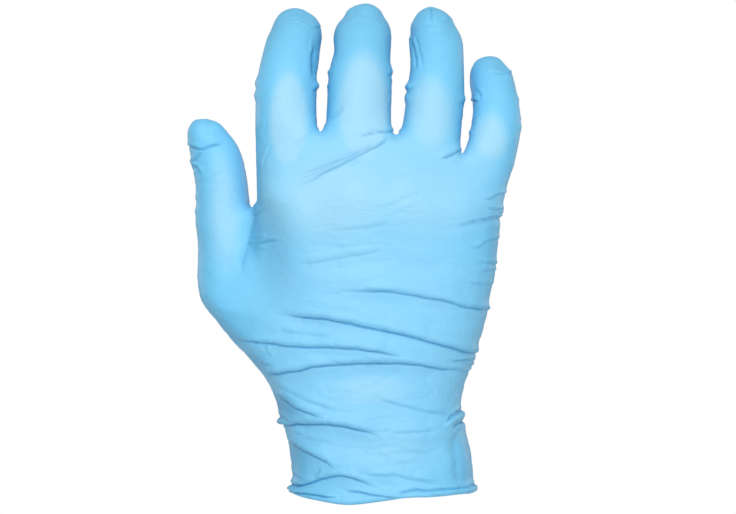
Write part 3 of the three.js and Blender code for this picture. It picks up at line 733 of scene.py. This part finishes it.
@dataclass(frozen=True)
class NitrileFinish:
    """Thin satin nitrile: sky blue, paler where it is drawn taut, with painted sheen on the lit plateaus
    there, and painted shade in folds and shaded places.

    Attributes:
        film: Colour of the slack film.
        stretched_and_sheen: Paler colour where the film is drawn taut over the fingers, thumb and knuckles,
            which also paints the sheen of those lit plateaus.
        painted_shade: Painted shade colour for the valleys of the folds and the shaded places.
        painted_shade_share: Greatest share of that painted shade.
        roughness: Least roughness.
        specular: Strength of its gloss.
        relief: Strength of the fine unevenness.
        relief_depth: Its depth.
    """

    film: tuple[float, ...] = screen_colour(108, 191, 232)
    stretched_and_sheen: tuple[float, ...] = screen_colour(148, 201, 227)
    painted_shade: tuple[float, ...] = screen_colour(40, 139, 192)
    painted_shade_share: float = 0.66
    roughness: float = 0.44
    specular: float = 0.42
    relief: float = 0.75
    relief_depth: float = 0.7

    def make(self) -> bpy.types.Material:
        """Builds the material."""
        bench = ShaderBench("nitrile_film")
        place = bench.place()
        cloud = bench.noise(22.0, 2.0, place)
        mottle = bench.noise(420.0, 3.0, place, 0.6)
        # The crease attribute holds painted shade; the stretch attribute holds the paler tint of taut film
        # with its painted sheen
        crease = bench.attribute("crease")
        stretch = bench.attribute("stretch")
        # Paler tint where the film is taut, which also paints the sheen of the lit knuckle, finger and thumb
        # plateaus
        colour = bench.mix(stretch * (0.7 + 0.3 * cloud) + 0.1 * cloud, self.film, self.stretched_and_sheen)
        # Painted shade in the fold valleys, the joint creases and the shaded places
        colour = bench.mix(crease * self.painted_shade_share, colour, self.painted_shade)
        drawn = bench.noise(240.0, 4.0, bench.place((0.3, 1.0, 1.0)), 0.6)
        hair = bench.noise(800.0, 2.0, bench.place((1.0, 1.0, 0.45)), 0.5)
        height = drawn * 0.65 + hair * 0.06 + mottle * 0.25
        depth = self.relief_depth * MM
        bump = bench.node(
            "ShaderNodeBump", None, {"Strength": self.relief, "Distance": depth, "Height": height}
        )
        return bench.finish(
            {
                "Base Color": colour,
                "Roughness": self.roughness + 0.1 * mottle,
                "Specular IOR Level": self.specular,
                "Normal": bump,
            }
        )


@dataclass(frozen=True)
class PaperFinish:
    """Matt white studio paper with a faint tooth."""

    paper: tuple[float, ...] = screen_colour(238, 239, 240)
    shade: tuple[float, ...] = screen_colour(230, 231, 233)

    def make(self) -> bpy.types.Material:
        """Builds the material."""
        bench = ShaderBench("studio_paper")
        tooth = bench.noise(60.0, 3.0, bench.place())
        colour = bench.mix(tooth, self.paper, self.shade)
        return bench.finish({"Base Color": colour, "Roughness": 0.8, "Specular IOR Level": 0.2})


def deselect_all() -> None:
    """Leaves edit mode and deselects every object."""
    if bpy.context.object and bpy.context.object.mode != "OBJECT":
        bpy.ops.object.mode_set(mode="OBJECT")
    bpy.ops.object.select_all(action="DESELECT")


def take_up(piece: bpy.types.Object) -> None:
    """Makes one object the only selected one and the active one."""
    deselect_all()
    piece.select_set(True)
    bpy.context.view_layer.objects.active = piece


def pick_faces(piece: bpy.types.Object, picked: np.ndarray) -> None:
    """Opens a mesh in edit mode with only some of its faces selected.

    Args:
        piece: The mesh object.
        picked: True for each face that is wanted.
    """
    take_up(piece)
    mesh = piece.data
    mesh.vertices.foreach_set("select", np.zeros(len(mesh.vertices), bool))
    mesh.edges.foreach_set("select", np.zeros(len(mesh.edges), bool))
    mesh.polygons.foreach_set("select", picked)
    bpy.context.tool_settings.mesh_select_mode = (False, False, True)
    bpy.ops.object.mode_set(mode="EDIT")


@dataclass
class GloveFilm:
    """The glove's one piece: thumb, fingers, palm, cuff and rolled bead.

    Attributes:
        node: The frame's solid whose form it takes.
        rim_band: Height over the mouth below which the skins meet in the bead.
        merge: Distance at which the solid's loose corners are joined.
        seen_depth: Height over the mouth up to which the inner skin can be seen.
        inner_share: Share of the inner skin's faces that is kept above that.
    """

    node: str = "glove_film"
    rim_band: float = 5.0
    merge: float = 0.005
    seen_depth: float = 55.0
    inner_share: float = 0.25
    folds: tuple[Fold, ...] = (
        WRIST_FOLDS + CUFF_FOLDS + WEB_FOLDS + THUMB_FOLDS + FINGER_FOLDS + PALM_FOLDS
    )
    lumps: tuple[Lump, ...] = LUMPS
    joints: tuple[Joint, ...] = JOINTS
    finish: NitrileFinish = field(default_factory=NitrileFinish)

    def build(self) -> bpy.types.Object:
        """Makes the piece and puts it in the frame's place."""
        film = self.copy_form()
        self.mark_outside(film)
        self.thin_inside(film)
        self.refine(film)
        self.shape(film)
        take_up(film)
        bpy.ops.object.shade_smooth()
        film.data.materials.clear()
        film.data.materials.append(self.finish.make())
        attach(film, "root")
        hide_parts(self.node)
        film.data.calc_loop_triangles()
        log.info("exam_glove: %d triangles, %d folds", len(film.data.loop_triangles), len(self.folds))
        return film

    def copy_form(self) -> bpy.types.Object:
        """Copies the solid's mesh, joins its corners and rounds it once."""
        film = bpy.data.objects.new("exam_glove", frame["nodes"][self.node].data.copy())
        bpy.context.scene.collection.objects.link(film)
        take_up(film)
        bpy.ops.object.mode_set(mode="EDIT")
        bpy.ops.mesh.select_all(action="SELECT")
        bpy.ops.mesh.remove_doubles(threshold=self.merge * MM)
        bpy.ops.mesh.tris_convert_to_quads(face_threshold=math.radians(50), shape_threshold=math.radians(80))
        bpy.ops.object.mode_set(mode="OBJECT")
        if film.data.has_custom_normals:
            bpy.ops.mesh.customdata_custom_splitnormals_clear()
        rounding = film.modifiers.new("Subdivision", "SUBSURF")
        rounding.levels = rounding.render_levels = 1
        bpy.ops.object.modifier_apply(modifier=rounding.name)
        return film

    def mark_outside(self, film: bpy.types.Object) -> None:
        """Keeps the outer skin and the bead as a vertex group.

        Above the bead the outer skin has no link to the inner one, so it is all that hangs together
        with the highest fingertip.
        """
        mesh = film.data
        heights = np.empty(len(mesh.vertices) * 3)
        mesh.vertices.foreach_get("co", heights)
        heights = heights.reshape(-1, 3)[:, 2]
        rim = heights < self.rim_band * MM
        take_up(film)
        bpy.context.tool_settings.mesh_select_mode = (True, False, False)
        bpy.ops.object.mode_set(mode="EDIT")
        bpy.ops.mesh.select_all(action="DESELECT")
        bpy.ops.object.mode_set(mode="OBJECT")
        mesh.vertices.foreach_set("select", rim)
        bpy.ops.object.mode_set(mode="EDIT")
        bpy.ops.mesh.hide()
        bpy.ops.object.mode_set(mode="OBJECT")
        tip = np.zeros(len(rim), bool)
        tip[heights.argmax()] = True
        mesh.vertices.foreach_set("select", tip)
        bpy.ops.object.mode_set(mode="EDIT")
        bpy.ops.mesh.select_linked()
        bpy.ops.object.mode_set(mode="OBJECT")
        skin = np.empty(len(rim), bool)
        mesh.vertices.foreach_get("select", skin)
        group = film.vertex_groups.new(name="outside")
        group.add(np.flatnonzero(skin | rim).tolist(), 1.0, "REPLACE")
        bpy.ops.object.mode_set(mode="EDIT")
        bpy.ops.mesh.reveal()
        bpy.ops.object.mode_set(mode="OBJECT")

    @staticmethod
    def outside(film: bpy.types.Object) -> np.ndarray:
        """True for each vertex of the outer skin and the bead."""
        group = film.vertex_groups["outside"].index
        flags = [any(g.group == group and g.weight > 0.5 for g in v.groups) for v in film.data.vertices]
        return np.array(flags)

    @staticmethod
    def faces_of(film: bpy.types.Object, picked: np.ndarray) -> np.ndarray:
        """True for each face whose corners are all picked."""
        return np.array([bool(picked[list(face.vertices)].all()) for face in film.data.polygons])

    @staticmethod
    def corner_mean(mesh: bpy.types.Mesh, values: np.ndarray) -> np.ndarray:
        """Mean of a number over the corners of each face."""
        corners = np.empty(len(mesh.loops), int)
        mesh.loops.foreach_get("vertex_index", corners)
        starts = np.empty(len(mesh.polygons), int)
        mesh.polygons.foreach_get("loop_start", starts)
        sides = np.empty(len(mesh.polygons), int)
        mesh.polygons.foreach_get("loop_total", sides)
        return np.add.reduceat(values[corners], starts) / sides

    def cut_finer(self, film: bpy.types.Object, picked: np.ndarray, smoothing: int) -> None:
        """Cuts the picked faces in four and rounds them."""
        pick_faces(film, picked)
        bpy.ops.mesh.subdivide(number_cuts=1)
        bpy.ops.mesh.vertices_smooth(factor=0.5, repeat=smoothing)
        bpy.ops.object.mode_set(mode="OBJECT")

    def thin_inside(self, film: bpy.types.Object) -> None:
        """Takes most faces out of the inner skin, deep in the glove where it is never seen."""
        heights = np.array([vertex.co.z for vertex in film.data.vertices])
        deep = ~self.outside(film) & (heights > self.seen_depth * MM)
        pick_faces(film, self.faces_of(film, deep))
        bpy.ops.mesh.decimate(ratio=self.inner_share)
        bpy.ops.object.mode_set(mode="OBJECT")

    def refine(self, film: bpy.types.Object) -> None:
        """Makes the outer skin finer, and finest along the slits of the folds."""
        skin = Skin(film.data, self.outside(film))
        fine = skin.outward[:, 1] < PALM_EDGE
        for joint in self.joints:
            fine |= skin.at_joint(joint)
        self.cut_finer(film, self.faces_of(film, fine & self.outside(film)), 2)
        for band in FINE_BANDS:
            outside = self.outside(film)
            skin = Skin(film.data, outside)
            picked = np.zeros(len(film.data.polygons), bool)
            for fold in self.folds:
                if fold.face is Face.BACK and fold.height < band.least_height:
                    continue
                half = band.half_width * (2.0 if fold.face is Face.PALM else 1.0)
                offset = np.full(len(outside), FAR)
                beside, gap, _, _ = skin.near(fold, half + WIDEST_FACE)
                shown = skin.facing(fold.face)[beside] > 0.1
                offset[beside[shown]] = gap[shown]
                picked |= np.abs(self.corner_mean(film.data, offset)) < half
            for lump in self.lumps:
                if lump.radius < SMALL_LUMP and band.lumps:
                    gap = np.linalg.norm(skin.places[:, [0, 2]] - lump.place, axis=1)
                    picked |= self.corner_mean(film.data, gap) < 2.0 * lump.radius
            self.cut_finer(film, picked & self.faces_of(film, outside), 1)

    def shape(self, film: bpy.types.Object) -> None:
        """Lays the folds, the lumps, the wrinkles of the joints and the film's unevenness."""
        skin = Skin(film.data, self.outside(film))
        for fold in self.folds:
            skin.lay_fold(fold)
        for lump in self.lumps:
            skin.swell(lump)
        for joint in self.joints:
            skin.wrinkle_joint(joint)
        # Paler tint of taut film with its painted sheen
        for patch in STRETCHED_AND_SHEEN:
            skin.stretch = np.maximum(skin.stretch, skin.patch(patch))
        # Painted shade of the shaded places
        for patch in SHADED:
            skin.crease = np.maximum(skin.crease, skin.patch(patch))
        slack = 1.0 - ease((skin.places[:, 2] - SLACK_TOP) / SLACK_FADE)
        where = 0.3 + 0.7 * slack
        shown = 1.0 - ease((skin.outward[:, 1] - PALM_EDGE + PALM_FADE) / PALM_FADE)
        for height, size, sharp in CRUMPLES:
            skin.crumple(height, size, where * shown if sharp else where, sharp)
        skin.write()


@dataclass(frozen=True)
class Panel:
    """A soft square light that faces the glove.

    Attributes:
        name: Its name.
        place: Where it hangs.
        size: Its side.
        power: Its output in watts.
    """

    name: str
    place: tuple[float, float, float]
    size: float
    power: float


PANELS = (
    Panel("key_panel", (-150.0, -1250.0, 900.0), 800.0, 12.0),
    Panel("fill_panel", (350.0, -1600.0, 250.0), 900.0, 7.0),
    Panel("top_panel", (0.0, -200.0, 1300.0), 900.0, 5.0),
    Panel("left_back_panel", (-1000.0, 1000.0, 300.0), 600.0, 2.5),
    Panel("right_back_panel", (1000.0, 1000.0, 300.0), 600.0, 2.5),
)


@dataclass
class Studio:
    """Floor, light and camera.

    Attributes:
        pixel: Width of the photograph's pixel at the glove.
        width: Pixels across the photograph.
        centre: Where the camera looks, as (x, z).
        distance: From the camera to the middle of the glove.
        floor_height: Height of the floor.
        floor_radius: Its reach.
        room_light: Strength of the light from all round.
    """

    pixel: float = 0.3584
    width: int = 736
    centre: tuple[float, float] = (-5.4, 85.3)
    distance: float = 1800.0
    floor_height: float = -60.0
    floor_radius: float = 850.0
    room_light: float = 0.3

    def build(self) -> None:
        """Makes the whole studio."""
        self.lay_floor()
        for panel in PANELS:
            self.hang_light(panel)
        self.light_room()
        self.place_camera()
        log.info("studio: floor, panels and camera")

    def lay_floor(self) -> None:
        """A round sheet of paper under the glove."""
        deselect_all()
        bpy.ops.mesh.primitive_circle_add(
            vertices=96,
            radius=self.floor_radius * MM,
            fill_type="NGON",
            location=(0.0, 0.0, self.floor_height * MM),
        )
        floor = bpy.context.object
        floor.name = "studio_floor"
        bpy.ops.object.transform_apply(location=True, rotation=True, scale=True)
        floor.data.materials.append(PaperFinish().make())

    def hang_light(self, panel: Panel) -> None:
        """Hangs one panel and turns it to the glove.

        Args:
            panel: The panel.
        """
        lamp = bpy.data.lights.new(panel.name, "AREA")
        lamp.shape = "SQUARE"
        lamp.size = panel.size * MM
        lamp.energy = panel.power
        hung = bpy.data.objects.new(panel.name, lamp)
        bpy.context.scene.collection.objects.link(hung)
        hung.location = Vector(panel.place) * MM
        aim = Vector((self.centre[0], 0.0, self.centre[1])) * MM - hung.location
        hung.rotation_euler = aim.to_track_quat("-Z", "Y").to_euler()

    def light_room(self) -> None:
        """White behind the glove, with a weaker light from all round."""
        world = bpy.data.worlds.new("studio_room")
        bpy.context.scene.world = world
        world.use_nodes = True
        tree = world.node_tree
        background = tree.nodes["Background"]
        background.inputs["Color"].default_value = (1.0, 1.0, 1.0, 1.0)
        seen = tree.nodes.new("ShaderNodeLightPath")
        strength = tree.nodes.new("ShaderNodeMapRange")
        strength.inputs["To Min"].default_value = self.room_light
        strength.inputs["To Max"].default_value = 1.0
        tree.links.new(seen.outputs["Is Camera Ray"], strength.inputs["Value"])
        tree.links.new(strength.outputs["Result"], background.inputs["Strength"])
        settings = bpy.context.scene.view_settings
        settings.view_transform = "Standard"
        settings.look = "None"

    def place_camera(self) -> None:
        """A long lens, square on to the back of the glove, with the photograph's framing."""
        lens = bpy.data.cameras.new("camera")
        lens.sensor_width = 36.0
        lens.lens = 36.0 * self.distance / (self.width * self.pixel)
        lens.clip_start, lens.clip_end = 0.1, 50.0
        camera = bpy.data.objects.new("camera", lens)
        bpy.context.scene.collection.objects.link(camera)
        camera.location = Vector((self.centre[0], -self.distance, self.centre[1])) * MM
        camera.rotation_euler = (math.radians(90.0), 0.0, 0.0)
        bpy.context.scene.camera = camera


def main() -> None:
    """Builds the glove and its studio."""
    logging.basicConfig(level=logging.INFO, format="%(name)s: %(message)s")
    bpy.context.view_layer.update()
    GloveFilm().build()
    Studio().build()


if __name__ == "__main__":
    main()
